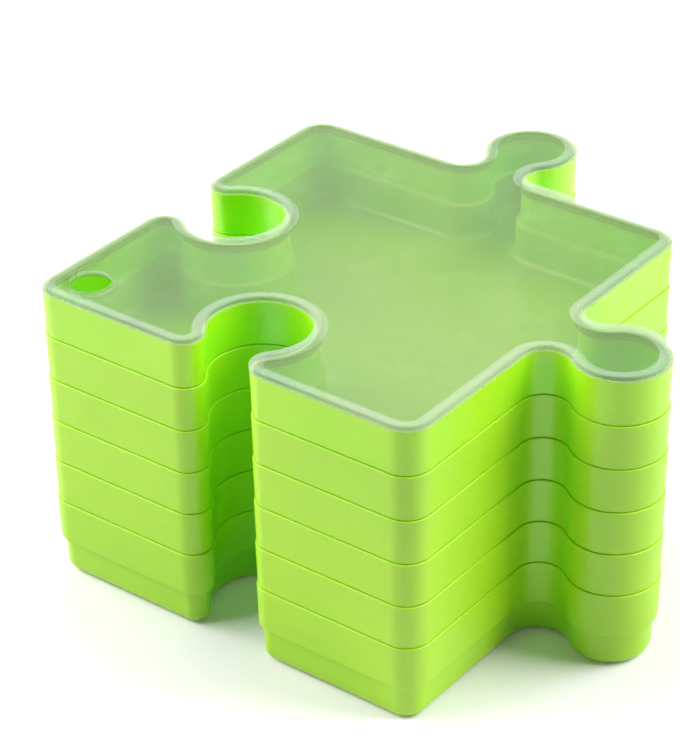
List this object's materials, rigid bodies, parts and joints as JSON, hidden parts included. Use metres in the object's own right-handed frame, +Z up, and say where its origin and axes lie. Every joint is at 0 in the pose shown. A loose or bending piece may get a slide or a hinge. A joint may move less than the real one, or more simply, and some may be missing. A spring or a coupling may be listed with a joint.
{
  "type": "jigsaw puzzle storage case",
  "caption": "Stack of nesting puzzle-piece-shaped sorting trays in bright green plastic under a frosted lid with a finger hole, for keeping loose jigsaw pieces.",
  "frame": {"origin": "centre of the square body on the face that the bottom tray rests on", "axes": "+Z up; +X and +Y square to the sides that have the knobs, with the sockets on -X and -Y"},
  "size_m": [0.2531, 0.2531, 0.1465],
  "materials": {
    "tray_plastic": "bright yellow-green moulded plastic, slightly translucent, satin",
    "lid_plastic": "frosted translucent moulded plastic"
  },
  "bodies": {
    "tray_1": {"tray_1": "tray_plastic"},
    "tray_2": {"tray_2": "tray_plastic"},
    "tray_3": {"tray_3": "tray_plastic"},
    "tray_4": {"tray_4": "tray_plastic"},
    "tray_5": {"tray_5": "tray_plastic"},
    "tray_6": {"tray_6": "tray_plastic"},
    "lid": {"lid": "lid_plastic"}
  },
  "joints": [
    {"name": "tray_2_lift", "type": "slide", "parent": "tray_1", "child": "tray_2", "axis": [0, 0, 1], "range_m": [0, 0.06]},
    {"name": "tray_3_lift", "type": "slide", "parent": "tray_2", "child": "tray_3", "axis": [0, 0, 1], "range_m": [0, 0.06]},
    {"name": "tray_4_lift", "type": "slide", "parent": "tray_3", "child": "tray_4", "axis": [0, 0, 1], "range_m": [0, 0.06]},
    {"name": "tray_5_lift", "type": "slide", "parent": "tray_4", "child": "tray_5", "axis": [0, 0, 1], "range_m": [0, 0.06]},
    {"name": "tray_6_lift", "type": "slide", "parent": "tray_5", "child": "tray_6", "axis": [0, 0, 1], "range_m": [0, 0.06]},
    {"name": "lid_lift", "type": "slide", "parent": "tray_6", "child": "lid", "axis": [0, 0, 1], "range_m": [0, 0.06]}
  ]
}
